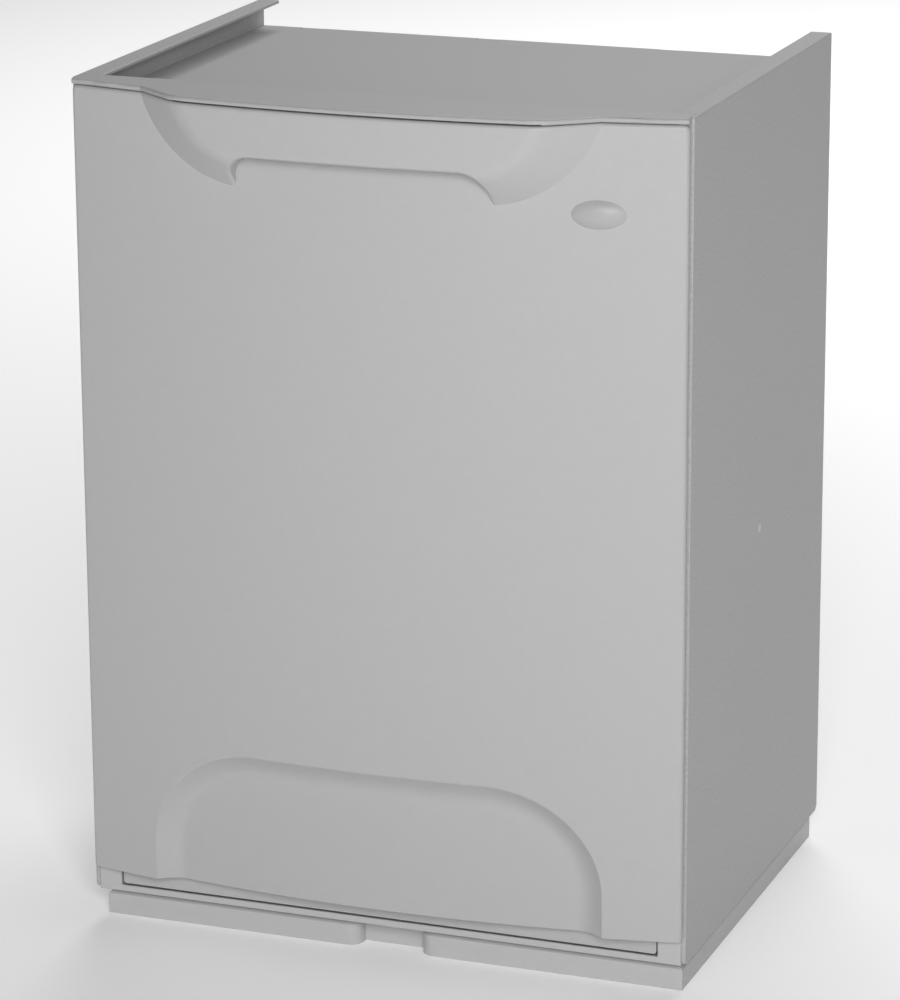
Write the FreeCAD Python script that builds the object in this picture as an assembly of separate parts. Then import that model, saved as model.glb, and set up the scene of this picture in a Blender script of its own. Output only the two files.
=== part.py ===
import FreeCAD, Part
import math
import os

from FreeCAD import Vector

# Stackable waste-sorting bin whose whole front tilts out on two hinge pins.
# Millimetres. X is to the right seen from the front, Y to the rear, Z up.
# The origin is on the floor, in the middle of the overall width and depth.

# ---- Cabinet ----
WIDTH = 340.0
HEIGHT = 470.0
REAR_Y = 145.0
SIDE_FRONT_Y = -107.0
WALL = 2.5
EDGE_ROUND = 0.6
CORNER_CHAMFER = 3.0            # of the side panel's lower rear corner
TOE_ROUND = 4.0                 # of its lower front corner
HALF = WIDTH / 2
INNER = HALF - WALL
SHY = 0.1                       # play between panels that are pushed together
PANEL_HALF = INNER - SHY        # half-width of what sits between the side panels

# ---- Base: foot, neck and floor ----
FOOT_HALF = 166.0
FOOT_FRONT_Y = -99.5
FOOT_TOP = 13.0
FOOT_CHAMFER = 1.5
NOTCH_HALF = 17.5
NOTCH_BACK_Y = -89.5
NOTCH_ROUND = 7.5
NECK_HALF = 156.0
FLOOR_BOTTOM = 17.0
FLOOR_TOP = 19.0
RIM_TOP = 20.5
RIM_THICK = 1.5
BLOCK_INNER = 154.6
BLOCK_TOP = 33.0
BLOCK_BACK_Y = -90.0
RIB_YS = (-20.0, 60.0)
RIB_THICK = 2.0
RIB_BOTTOM = 4.0

# ---- Top: recessed cover and the flanges that hold the next module ----
COVER_FLOOR_TOP = 455.0
COVER_LIP = 3.0
COVER_RISER_Y = -97.5
FLANGE_THICK = 2.0
FLANGE_FRONT = 13.0
FLANGE_REAR = 12.0
LEDGE_YS = (-60.0, 30.0, 110.0)
LEDGE_REACH = 8.0
LEDGE_LENGTH = 14.0
BACKING_BOTTOM = 459.0          # the cover reaches down behind the door's upper ends to here
NOSE_ROUND = 1.3
RELIEF_HALF = 100.0             # the lip is thinner above the cup handle
RELIEF_RISE = 0.6

# ---- Door face ----
FACE_HALF = 168.6
FACE_CENTRE_Y = -129.5
FACE_BOW = 18.0
DOOR_BOTTOM = 31.5
DOOR_TOP = 466.6
DOOR_CORNER = 3.0
DOOR_LOW_CORNER = 1.5
BOW_RADIUS = (FACE_HALF ** 2 + FACE_BOW ** 2) / (2 * FACE_BOW)

# ---- Cup handle raised from the door face ----
CUP_RISE = 15.5
CUP_CORNER_X = 64.6
CUP_CORNER_Z = 486.6
CUP_RADIUS = 64.2
CUP_CREST_X = 32.5              # half-axes of the corner where the cup reaches full height
CUP_CREST_Z = 43.6
FLANK_EVEN = 0.6                # share of the cup's flank that is one even slope
SLOT_HALF = 70.0
SLOT_TOP = 441.0
SLOT_BOTTOM = 422.4
SLOT_ROUND = 13.5
POCKET_OPEN_HALF = 60.0         # the pocket's side walls start here
POCKET_BACK_SET = 0.4           # the pocket's back wall is this far behind the face
BELOW_CUP = 400.0               # limits of the shapes that trim the cup
AHEAD_Y = -170.0
BEHIND_Y = -90.0

# ---- Arched recess at the foot of the door ----
ARCH_HALF = 127.7
ARCH_TOP = 111.5
ARCH_CORNER_X = 64.0
ARCH_CORNER_Z = 58.0
ARCH_DEPTH = 8.5
ARCH_RUN = 14.0

# ---- Tilting hinge ----
PIVOT_Y = -101.0
PIVOT_Z = 27.0
PIN_R = 2.5
PIN_PLAY = 0.05
BUSH_R = 4.0
BUSH_LENGTH = 8.0
HINGE_PIN_LENGTH = 10.8
TILT_DEG = 30.0

# ---- Cheeks: the sector plates at the door's sides ----
CHEEK_INNER = 151.0
CHEEK_OUTER = 153.5
CHEEK_RADIUS = 420.0
CHEEK_SWEEP_DEG = 33.0
CHEEK_FRONT_Y = -110.0
CHEEK_BOTTOM = 22.2
CHEEK_TOE_FRONT = 3.5           # reach of the cheek's toe in front of the pivot
CHEEK_TOE_REAR = 14.0
STOP_RADIUS = 400.0
STOP_DEG = 32.0
STOP_PEG_R = 4.0
STOP_PEG_LENGTH = 7.5
STOP_BLOCK_Z = 424.0
STOP_BLOCK_HALF = 12.0
SPIGOT_R = 3.0                  # the stop block's spigot, seated in the side panel
SPIGOT_DEPTH = 1.3
HUB_R = 3.6
HUB_LENGTH = 3.2

# ---- Strip that shows between the door's lower edge and the base ----
STRIP_FRONT_Y = -106.2
STRIP_BOTTOM = 21.5
STRIP_ROUND = 1.5
STRIP_TOP = 40.0
STRIP_REAR_Y = PIVOT_Y - 2.7
STRIP_END_TOP = 32.5            # the ends reach under the cheeks, lower and thinner
STRIP_END_REAR_Y = PIVOT_Y - 3.7

# ---- Frame behind the door face ----
FRAME_HALF = CHEEK_INNER - SHY
FRAME_BOTTOM = 37.5
FRAME_TOP = 450.5
UPRIGHT_WIDE = 11.0
BOSS_R = 3.5
LUG_Z = 424.0
LUG_HALF = 4.0
MOULD_DEPTH = 1.2               # how deep bosses and lugs start inside the face's wall

# ---- Bag ring ----
RING_HALF = 149.0
RING_FRONT_Y = -88.0
RING_REAR_Y = 90.0
RING_BAND = 11.0
RING_BOTTOM = 366.0
RING_TOP = 374.0
RING_PIVOT_Y = -80.0
RING_PIVOT_Z = 370.0
RING_SKIN = 2.0
RING_ROUND = 28.0
RING_BOSS_R = 4.0

# ---- Small parts ----
PLUG_Y = 19.0
PLUG_Z = 222.0
PLUG_R = 2.6
PLUG_HEAD = 0.8
PLUG_SHANK_R = 1.5
BADGE_X = 124.3
BADGE_Z = 420.0
BADGE_LONG = 28.0
BADGE_TALL = 15.0
BADGE_PROUD = 3.0
WALL_HOLE_X = 110.0
WALL_HOLE_Z = 420.0
WALL_HOLE_R = 2.75
TAB_XS = (-137.0, -30.0, 77.0)
TAB_HALF = 6.0
TAB_PLAY = 0.6
BACK_SCREW_X = 162.0
BACK_SCREW_ZS = (60.0, 400.0)
BASE_SCREW_X = 160.5
BASE_SCREW_YS = (-72.0, 122.0)
CHEEK_SCREW_Y = -106.0
CHEEK_SCREW_ZS = (120.0, 250.0, 380.0)
FRAME_SCREW_X = 144.0
FRAME_SCREW_ZS = (150.0, 400.0)
SHANK_R = 1.35                  # self-tapping screws, as smooth shanks
PILOT_R = 1.4
CLEAR_R = 1.6
HEAD_R = 3.0
HEAD_TALL = 1.7
SINK_R = 3.2                    # mouth of a countersink
ACCESS_R = 4.0                  # screwdriver's way through the foot

X_AXIS = Vector(1, 0, 0)
Y_AXIS = Vector(0, 1, 0)
Z_AXIS = Vector(0, 0, 1)


# ---- Shape helpers ----

def box(x0, x1, y0, y1, z0, z1):
    return Part.makeBox(x1 - x0, y1 - y0, z1 - z0, Vector(x0, y0, z0))


def rod(axis, start, length, radius):
    return Part.makeCylinder(radius, length, start, axis)


def mirrored(shape):
    return shape.mirror(Vector(0, 0, 0), X_AXIS)


def both_sides(shape):
    return [shape, mirrored(shape)]


def fused(shapes):
    return shapes[0].multiFuse(shapes[1:]).removeSplitter()


def prism(corners, along):
    wire = Part.makePolygon(corners + corners[:1])
    return Part.Face(wire).extrude(along)


def rounded_prism(corners, radius, along):
    """Extrude a polygon whose corners are all rounded by one radius."""
    edges = []
    count = len(corners)
    ends = []
    for index in range(count):
        here = corners[index]
        before = (corners[index - 1] - here).normalize()
        after = (corners[(index + 1) % count] - here).normalize()
        half_turn = before.getAngle(after) / 2
        reach = radius / math.tan(half_turn)
        middle = (before + after).normalize() * (radius / math.sin(half_turn) - radius)
        ends.append((here + before * reach, here + middle, here + after * reach))
    for index in range(count):
        first, middle, last = ends[index]
        edges.append(Part.Arc(first, middle, last).toShape())
        edges.append(Part.makeLine(last, ends[(index + 1) % count][0]))
    return Part.Face(Part.Wire(edges)).extrude(along)


def rounded_plate(half, y0, y1, z0, z1, radius):
    corners = [Vector(-half, y0, z0), Vector(half, y0, z0), Vector(half, y1, z0), Vector(-half, y1, z0)]
    return rounded_prism(corners, radius, Z_AXIS * (z1 - z0))


# ---- The door's front surface, as a depth for each place on it ----

def face_y(x):
    """Depth of the plain bowed face."""
    return FACE_CENTRE_Y + BOW_RADIUS - math.sqrt(BOW_RADIUS ** 2 - x ** 2)


def quick_rise(part):
    """Steep at the outline, level at the end."""
    return math.sin(math.pi / 2 * min(max(part, 0.0), 1.0))


def flank_rise(part):
    """One even slope at first, then rounded to level at the end."""
    part = min(max(part, 0.0), 1.0)
    slope = 2 / (1 + FLANK_EVEN)
    if part < FLANK_EVEN:
        return slope * part
    return 1 - slope * (1 - part) ** 2 / (2 * (1 - FLANK_EVEN))


def cup_rise(x, z):
    """How far the cup handle stands in front of the face."""
    side = max(abs(x) - CUP_CORNER_X, 0.0)
    drop = CUP_CORNER_Z - z
    reach = math.hypot(side, drop)
    crest = reach / math.hypot(side / CUP_CREST_X, drop / CUP_CREST_Z)
    return CUP_RISE * flank_rise((CUP_RADIUS - reach) / (CUP_RADIUS - crest))


def arch_depth(x, z):
    """How far the arched recess goes behind the face."""
    side = max(abs(x) - (ARCH_HALF - ARCH_CORNER_X), 0.0) / ARCH_CORNER_X
    above = max(z - (ARCH_TOP - ARCH_CORNER_Z), 0.0) / ARCH_CORNER_Z
    inside = (1.0 - math.hypot(side, above)) * ARCH_CORNER_Z
    return ARCH_DEPTH * quick_rise(inside / ARCH_RUN)


def front_y(x, z):
    return face_y(x) - cup_rise(x, z) + arch_depth(x, z)


def spaced(first, last, count):
    return [first + (last - first) * step / (count - 1) for step in range(count)]


def bowed_band(front_offset, back_y, half, z0, z1):
    """Plan region from the bowed face, set back by an offset, to a flat rear."""
    left = Vector(-half, face_y(half) + front_offset, z0)
    middle = Vector(0, face_y(0) + front_offset, z0)
    right = Vector(half, face_y(half) + front_offset, z0)
    edges = [
        Part.Arc(left, middle, right).toShape(),
        Part.makeLine(right, Vector(half, back_y, z0)),
        Part.makeLine(Vector(half, back_y, z0), Vector(-half, back_y, z0)),
        Part.makeLine(Vector(-half, back_y, z0), left),
    ]
    return Part.Face(Part.Wire(edges)).extrude(Z_AXIS * (z1 - z0))


def cup_tip_x(z):
    """Half-width of the cup handle's outline at a height."""
    return CUP_CORNER_X + math.sqrt(CUP_RADIUS ** 2 - (CUP_CORNER_Z - z) ** 2)


def lip_plate(offset, back_y, z0, z1):
    """Plate whose front follows the door's top edge, bulging out over the cup."""
    tip = cup_tip_x(DOOR_TOP)
    half = FACE_HALF

    def arc_point(x):
        return Vector(x, face_y(x) + offset, z0)

    bulge = Part.BSplineCurve()
    bulge.interpolate([Vector(x, front_y(x, DOOR_TOP) + offset, z0) for x in spaced(-tip, tip, 49)])
    edges = [
        Part.Arc(arc_point(-half), arc_point(-(half + tip) / 2), arc_point(-tip)).toShape(),
        bulge.toShape(),
        Part.Arc(arc_point(tip), arc_point((half + tip) / 2), arc_point(half)).toShape(),
        Part.makeLine(arc_point(half), Vector(half, back_y, z0)),
        Part.makeLine(Vector(half, back_y, z0), Vector(-half, back_y, z0)),
        Part.makeLine(Vector(-half, back_y, z0), arc_point(-half)),
    ]
    return Part.Face(Part.Wire(edges)).extrude(Z_AXIS * (z1 - z0))


# ---- Cabinet parts ----

def right_side_panel():
    outline = [
        Vector(INNER, SIDE_FRONT_Y, FLOOR_BOTTOM + TOE_ROUND),
        Vector(INNER, SIDE_FRONT_Y + TOE_ROUND, FLOOR_BOTTOM),
        Vector(INNER, REAR_Y - CORNER_CHAMFER, FLOOR_BOTTOM),
        Vector(INNER, REAR_Y, FLOOR_BOTTOM + CORNER_CHAMFER),
        Vector(INNER, REAR_Y, HEIGHT),
        Vector(INNER, SIDE_FRONT_Y, HEIGHT),
    ]
    bite = TOE_ROUND * (1 - math.sqrt(0.5))
    toe_middle = Vector(INNER, SIDE_FRONT_Y + bite, FLOOR_BOTTOM + bite)
    edges = [Part.Arc(outline[0], toe_middle, outline[1]).toShape()]
    for start, end in zip(outline[1:], outline[2:] + outline[:1]):
        edges.append(Part.makeLine(start, end))
    sheet = Part.Face(Part.Wire(edges)).extrude(X_AXIS * WALL)
    sheet = sheet.makeFillet(EDGE_ROUND, [edge for edge in sheet.Edges if on_outer_border(edge)])
    boss_inner = BLOCK_INNER + 1.5
    boss_half = 6.0
    boss_long = 12.0
    pilot_depth = 10.0
    boss_rear = REAR_Y - WALL
    parts = [sheet, side_flange()]
    parts += [cover_ledge(y) for y in LEDGE_YS]
    holes = []
    for y in BASE_SCREW_YS:
        parts.append(box(boss_inner, INNER, y - boss_half, y + boss_half, FLOOR_TOP, FLOOR_TOP + boss_long))
        holes.append(rod(Z_AXIS, Vector(BASE_SCREW_X, y, FLOOR_TOP), pilot_depth, PILOT_R))
    for z in BACK_SCREW_ZS:
        parts.append(box(boss_inner, INNER, boss_rear - boss_long, boss_rear, z - boss_half, z + boss_half))
        holes.append(rod(Y_AXIS, Vector(BACK_SCREW_X, boss_rear - pilot_depth, z), pilot_depth, PILOT_R))
    holes.append(rod(X_AXIS, Vector(INNER, PLUG_Y, PLUG_Z), WALL, PLUG_SHANK_R + PIN_PLAY))
    holes.append(rod(X_AXIS, Vector(HALF - PLUG_HEAD, PLUG_Y, PLUG_Z), PLUG_HEAD, PLUG_R + SHY))
    spigot_seat = Vector(INNER, stop_block_y(), STOP_BLOCK_Z)
    holes.append(rod(X_AXIS, spigot_seat, SPIGOT_DEPTH + 0.2, SPIGOT_R + PIN_PLAY))
    return fused(parts).cut(Part.makeCompound(holes))


def on_outer_border(edge):
    """True for the front and top edges of the side panel's outer face."""
    bounds = edge.BoundBox
    return bounds.XMin > HALF - 0.01 and (bounds.YMax < SIDE_FRONT_Y + 0.01 or bounds.ZMin > HEIGHT - 0.01)


def side_flange():
    """Top flange turned inwards, a little wider at the front, that guides the module above."""
    z0 = HEIGHT - FLANGE_THICK
    corners = [
        Vector(INNER, COVER_RISER_Y + SHY, z0),
        Vector(HALF - FLANGE_FRONT, COVER_RISER_Y + SHY, z0),
        Vector(HALF - FLANGE_REAR, REAR_Y, z0),
        Vector(INNER, REAR_Y, z0),
    ]
    flange = prism(corners, Z_AXIS * FLANGE_THICK)
    nose = [edge for edge in flange.Edges if edge.BoundBox.XMax < INNER - 1 and edge.BoundBox.YLength > 10]
    return flange.makeFillet(EDGE_ROUND, nose)


def cover_ledge(y):
    """Small shelf that the cover's floor sits on, braced underneath."""
    top = COVER_FLOOR_TOP - WALL - SHY
    corners = [
        Vector(INNER, y, top),
        Vector(INNER - LEDGE_REACH, y, top),
        Vector(INNER - LEDGE_REACH, y, top - 2),
        Vector(INNER, y, top - LEDGE_REACH - 2),
    ]
    return prism(corners, Y_AXIS * LEDGE_LENGTH)


def top_cover():
    border = lip_plate(0.0, SIDE_FRONT_Y - SHY, HEIGHT - COVER_LIP, HEIGHT)
    inner_border = box(-PANEL_HALF, PANEL_HALF, SIDE_FRONT_Y - 1, COVER_RISER_Y, HEIGHT - COVER_LIP, HEIGHT)
    floor_bottom = COVER_FLOOR_TOP - WALL
    riser = box(-PANEL_HALF, PANEL_HALF, COVER_RISER_Y - WALL, COVER_RISER_Y, floor_bottom, HEIGHT - 1)
    floor = box(-PANEL_HALF, PANEL_HALF, COVER_RISER_Y - WALL, REAR_Y, floor_bottom, COVER_FLOOR_TOP)
    parts = [border, inner_border, riser, floor]
    behind_door = cup_tip_x(DOOR_TOP) - 3
    backing = box(behind_door, PANEL_HALF, SIDE_FRONT_Y, COVER_RISER_Y - 1, BACKING_BOTTOM, HEIGHT - 1)
    parts += both_sides(backing)
    cover = fused(parts)
    notches = []
    for x in TAB_XS:
        half = TAB_HALF + TAB_PLAY / 2
        notches.append(box(x - half, x + half, REAR_Y - WALL - SHY, REAR_Y, floor_bottom, COVER_FLOOR_TOP))
        notches.append(snap_nose(x, half, TAB_PLAY))
    cover = cover.cut(Part.makeCompound(notches))
    cover = cover.makeFillet(NOSE_ROUND, nose_edges(cover))
    lip_bottom = HEIGHT - COVER_LIP
    relief = box(
        -RELIEF_HALF, RELIEF_HALF, AHEAD_Y, SIDE_FRONT_Y - SHY, lip_bottom - 1, lip_bottom + RELIEF_RISE
    )
    return cover.cut(relief)


def nose_edges(cover):
    """The upper and lower edges of the cover's front, which follow the bowed face."""
    nose = []
    for edge in cover.Edges:
        middle = edge.valueAt((edge.FirstParameter + edge.LastParameter) / 2)
        level = edge.BoundBox.ZLength < 0.01
        in_front = edge.BoundBox.YMax < SIDE_FRONT_Y - 2
        if level and in_front and middle.z >= HEIGHT - COVER_LIP - 0.01:
            nose.append(edge)
    return nose


def back_panel():
    top = COVER_FLOOR_TOP - WALL - SHY
    panel = box(-PANEL_HALF, PANEL_HALF, REAR_Y - WALL, REAR_Y, FLOOR_TOP, top)
    tabs = []
    for x in TAB_XS:
        tab_front = REAR_Y - WALL + SHY
        tabs.append(box(x - TAB_HALF, x + TAB_HALF, tab_front, REAR_Y, top - 1, COVER_FLOOR_TOP - SHY))
        tabs.append(snap_nose(x, TAB_HALF, 0.0))
    panel = fused([panel] + tabs)
    holes = []
    for x in (-WALL_HOLE_X, WALL_HOLE_X):
        holes.append(rod(Y_AXIS, Vector(x, REAR_Y - WALL, WALL_HOLE_Z), WALL, WALL_HOLE_R))
    for x in (-BACK_SCREW_X, BACK_SCREW_X):
        for z in BACK_SCREW_ZS:
            holes.append(rod(Y_AXIS, Vector(x, REAR_Y - WALL, z), WALL, CLEAR_R))
            sink = Vector(x, REAR_Y - HEAD_TALL, z)
            holes.append(Part.makeCone(CLEAR_R, SINK_R, HEAD_TALL, sink, Y_AXIS))
    return panel.cut(Part.makeCompound(holes))


def snap_nose(x, half, play):
    """Barb that hooks forward into a bevel at the cover's rear edge, flush with the floor."""
    barb = 1.2
    rear = REAR_Y - 1.0
    front = REAR_Y - WALL - play
    top = COVER_FLOOR_TOP - SHY + play
    bottom = top - barb - 2 * play
    corners = [
        Vector(x - half, rear, top),
        Vector(x - half, front - barb, top),
        Vector(x - half, front, bottom),
        Vector(x - half, rear, bottom),
    ]
    return prism(corners, X_AXIS * (2 * half))


def foot_outline(inset, z):
    """Plan corners of the foot, with the set-back middle of its front edge."""
    half = FOOT_HALF - inset
    front = FOOT_FRONT_Y + inset
    notch = NOTCH_HALF + inset
    notch_back = NOTCH_BACK_Y + inset
    return [
        Vector(-half, front, z),
        Vector(-notch, front, z),
        Vector(-notch, notch_back, z),
        Vector(notch, notch_back, z),
        Vector(notch, front, z),
        Vector(half, front, z),
        Vector(half, REAR_Y - inset, z),
        Vector(-half, REAR_Y - inset, z),
    ]


def foot():
    block = prism(foot_outline(0.0, 0.0), Z_AXIS * FOOT_TOP)
    upright = []
    top_front = []
    for edge in block.Edges:
        middle = edge.CenterOfMass
        beside_notch = abs(abs(middle.x) - NOTCH_HALF) < 0.1 and middle.y < FOOT_FRONT_Y + 1
        if beside_notch and edge.BoundBox.ZLength > 1:
            upright.append(edge)
    block = block.makeFillet(NOTCH_ROUND, upright)
    for edge in block.Edges:
        if edge.BoundBox.ZMin > FOOT_TOP - 0.1 and edge.CenterOfMass.y < REAR_Y - 1:
            top_front.append(edge)
    block = block.makeChamfer(FOOT_CHAMFER, top_front)
    hollow = prism(foot_outline(WALL, -1.0), Z_AXIS * (FOOT_TOP - WALL + 1))
    return block.cut(hollow)


def base_tray():
    neck = box(-NECK_HALF, NECK_HALF, NOTCH_BACK_Y, REAR_Y, FOOT_TOP - WALL, FLOOR_BOTTOM)
    neck_hole = box(
        -NECK_HALF + WALL, NECK_HALF - WALL, NOTCH_BACK_Y + WALL, REAR_Y - WALL, -1.0, FLOOR_BOTTOM
    )
    skirt = fused([foot(), neck]).cut(neck_hole)
    parts = [skirt, box(-PANEL_HALF, PANEL_HALF, SIDE_FRONT_Y, REAR_Y, FLOOR_BOTTOM, FLOOR_TOP)]
    rim_back = SIDE_FRONT_Y + RIM_THICK
    parts.append(box(-BLOCK_INNER, BLOCK_INNER, SIDE_FRONT_Y, rim_back, FLOOR_TOP - 1, RIM_TOP))
    parts += both_sides(box(BLOCK_INNER, PANEL_HALF, SIDE_FRONT_Y, BLOCK_BACK_Y, FLOOR_TOP - 1, BLOCK_TOP))
    for y in RIB_YS:
        parts.append(box(1 - NECK_HALF, NECK_HALF - 1, y, y + RIB_THICK, RIB_BOTTOM, FLOOR_BOTTOM + 1))
    holes = both_sides(rod(X_AXIS, Vector(BLOCK_INNER - 1, PIVOT_Y, PIVOT_Z), BUSH_LENGTH + 1, BUSH_R))
    for x in (-BASE_SCREW_X, BASE_SCREW_X):
        for y in BASE_SCREW_YS:
            holes.append(rod(Z_AXIS, Vector(x, y, FLOOR_BOTTOM), FLOOR_TOP - FLOOR_BOTTOM, CLEAR_R))
            holes.append(rod(Z_AXIS, Vector(x, y, 0.0), FOOT_TOP, ACCESS_R))
    return fused(parts).cut(Part.makeCompound(holes))


def right_hinge_bush():
    start = Vector(BLOCK_INNER, PIVOT_Y, PIVOT_Z)
    tube = rod(X_AXIS, start, BUSH_LENGTH, BUSH_R)
    return tube.cut(rod(X_AXIS, start, BUSH_LENGTH, PIN_R + PIN_PLAY))


def stop_block_y():
    """Depth of the stop block's middle, found from where the peg stands at full tilt."""
    peg_angle = math.radians(STOP_DEG - TILT_DEG)
    rear_face = PIVOT_Y + STOP_RADIUS * math.sin(peg_angle) - STOP_PEG_R - 1.0
    return (SIDE_FRONT_Y + 0.5 + rear_face) / 2


def right_stop_block():
    middle = stop_block_y()
    half = middle - (SIDE_FRONT_Y + 0.5)
    low = STOP_BLOCK_Z - STOP_BLOCK_HALF
    high = STOP_BLOCK_Z + STOP_BLOCK_HALF
    block = box(CHEEK_OUTER + 1.5, INNER - SHY, middle - half, middle + half, low, high)
    block = block.makeFillet(2.0, [edge for edge in block.Edges if edge.BoundBox.XLength > 5])
    return block.fuse(rod(X_AXIS, Vector(INNER - 1, middle, STOP_BLOCK_Z), 1 + SPIGOT_DEPTH, SPIGOT_R))


def right_side_plug():
    inside = 2.0
    head = rod(X_AXIS, Vector(HALF - PLUG_HEAD, PLUG_Y, PLUG_Z), PLUG_HEAD, PLUG_R)
    shank = rod(X_AXIS, Vector(INNER - inside, PLUG_Y, PLUG_Z), inside + WALL - PLUG_HEAD / 2, PLUG_SHANK_R)
    return head.fuse(shank).removeSplitter()


def back_screws():
    screws = []
    for x in (-BACK_SCREW_X, BACK_SCREW_X):
        for z in BACK_SCREW_ZS:
            head = Part.makeCone(SHANK_R, HEAD_R - SHY, 1.5, Vector(x, REAR_Y - 1.6, z), Y_AXIS)
            shank = rod(Y_AXIS, Vector(x, REAR_Y - 12.0, z), 10.8, SHANK_R)
            screws.append(head.fuse(shank).removeSplitter())
    return Part.makeCompound(screws)


def base_screws():
    screws = []
    for x in (-BASE_SCREW_X, BASE_SCREW_X):
        for y in BASE_SCREW_YS:
            head = rod(Z_AXIS, Vector(x, y, FLOOR_BOTTOM - HEAD_TALL), HEAD_TALL, HEAD_R)
            shank = rod(Z_AXIS, Vector(x, y, FLOOR_BOTTOM - 0.5), 10.5, SHANK_R)
            screws.append(head.fuse(shank).removeSplitter())
    return Part.makeCompound(screws)


# ---- Door parts ----

def moulded_sheet():
    """The bowed face with its arched recess and raised cup, one wall thick."""
    sheet = front_surface().extrude(Y_AXIS * WALL)
    upper = door_outline(DOOR_BOTTOM - 20, DOOR_TOP, DOOR_CORNER)
    lower = door_outline(DOOR_BOTTOM, DOOR_TOP + 20, DOOR_LOW_CORNER)
    return sheet.common(upper.common(lower))


def door_outline(z0, z1, radius):
    corners = [
        Vector(-FACE_HALF, -160, z0),
        Vector(FACE_HALF, -160, z0),
        Vector(FACE_HALF, -160, z1),
        Vector(-FACE_HALF, -160, z1),
    ]
    return rounded_prism(corners, radius, Y_AXIS * 80)


def front_surface():
    rows = []
    for x in spaced(-FACE_HALF, FACE_HALF, 86):
        rows.append([Vector(x, front_y(x, z), z) for z in spaced(DOOR_BOTTOM, DOOR_TOP, 100)])
    surface = Part.BSplineSurface()
    surface.interpolate(rows)
    return surface.toShape()


def slot_window(grown):
    """The finger slot's outline as a prism, with rounded upper corners, made larger all round."""
    half = SLOT_HALF + grown
    top = SLOT_TOP + grown
    corners = [
        Vector(-half, -160, SLOT_BOTTOM - 2 * SLOT_ROUND),
        Vector(half, -160, SLOT_BOTTOM - 2 * SLOT_ROUND),
        Vector(half, -160, top),
        Vector(-half, -160, top),
    ]
    window = rounded_prism(corners, SLOT_ROUND + grown, Y_AXIS * 60)
    return window.common(box(-half, half, AHEAD_Y, BEHIND_Y, SLOT_BOTTOM, top))


def pocket_side_walls():
    """Walls from the slot's rounded sides back to the face."""
    ring = slot_window(WALL - 0.5).cut(slot_window(0.0))
    ring = ring.cut(box(-POCKET_OPEN_HALF, POCKET_OPEN_HALF, AHEAD_Y, BEHIND_Y, BELOW_CUP, HEIGHT))
    behind_front = front_surface().extrude(Y_AXIS * CUP_RISE)
    before_face = bowed_band(-CUP_RISE - 5, BEHIND_Y - 10, FACE_HALF - 1, BELOW_CUP, HEIGHT)
    before_face = before_face.cut(bowed_band(1.0, BEHIND_Y, FACE_HALF, BELOW_CUP - 1, HEIGHT + 1))
    return ring.common(behind_front).common(before_face)


def door_face():
    cup_half = cup_tip_x(DOOR_TOP) - 14
    back_set = POCKET_BACK_SET
    sheet = moulded_sheet().cut(slot_window(0.0))
    back_wall = bowed_band(back_set, BEHIND_Y - 5, cup_half, SLOT_BOTTOM - 2, DOOR_TOP - 2)
    back_wall = back_wall.cut(bowed_band(back_set + WALL, BEHIND_Y, cup_half + 1, BELOW_CUP, DOOR_TOP))
    roof = lip_plate(MOULD_DEPTH, BEHIND_Y - 10, DOOR_TOP - WALL, DOOR_TOP)
    roof = roof.common(box(-cup_half, cup_half, AHEAD_Y, BEHIND_Y, BELOW_CUP, HEIGHT))
    roof = roof.cut(bowed_band(back_set + 1, BEHIND_Y, FACE_HALF, BELOW_CUP, HEIGHT))
    parts = [sheet, back_wall, roof, pocket_side_walls()]
    for side in (-1, 1):
        parts.append(closing_lug(side))
        for z in FRAME_SCREW_ZS:
            parts.append(screw_boss(side * FRAME_SCREW_X, z))
    face = parts[0]
    for part in parts[1:]:
        face = face.fuse(part)
    pilots = []
    for x in (-FRAME_SCREW_X, FRAME_SCREW_X):
        for z in FRAME_SCREW_ZS:
            pilots.append(rod(Y_AXIS, Vector(x, PIVOT_Y - 10, z), 10.0, PILOT_R))
    return face.cut(Part.makeCompound(pilots))


def closing_lug(side):
    """Lug that meets the stop block when the door is shut."""
    middle = side * (CHEEK_OUTER + INNER) / 2
    front = face_y(middle) + MOULD_DEPTH
    rear = SIDE_FRONT_Y + 0.2
    return box(middle - LUG_HALF, middle + LUG_HALF, front, rear, LUG_Z - LUG_HALF, LUG_Z + LUG_HALF)


def screw_boss(x, z):
    front = face_y(x) + MOULD_DEPTH
    return rod(Y_AXIS, Vector(x, front, z), PIVOT_Y - WALL - SHY - front, BOSS_R)


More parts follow.
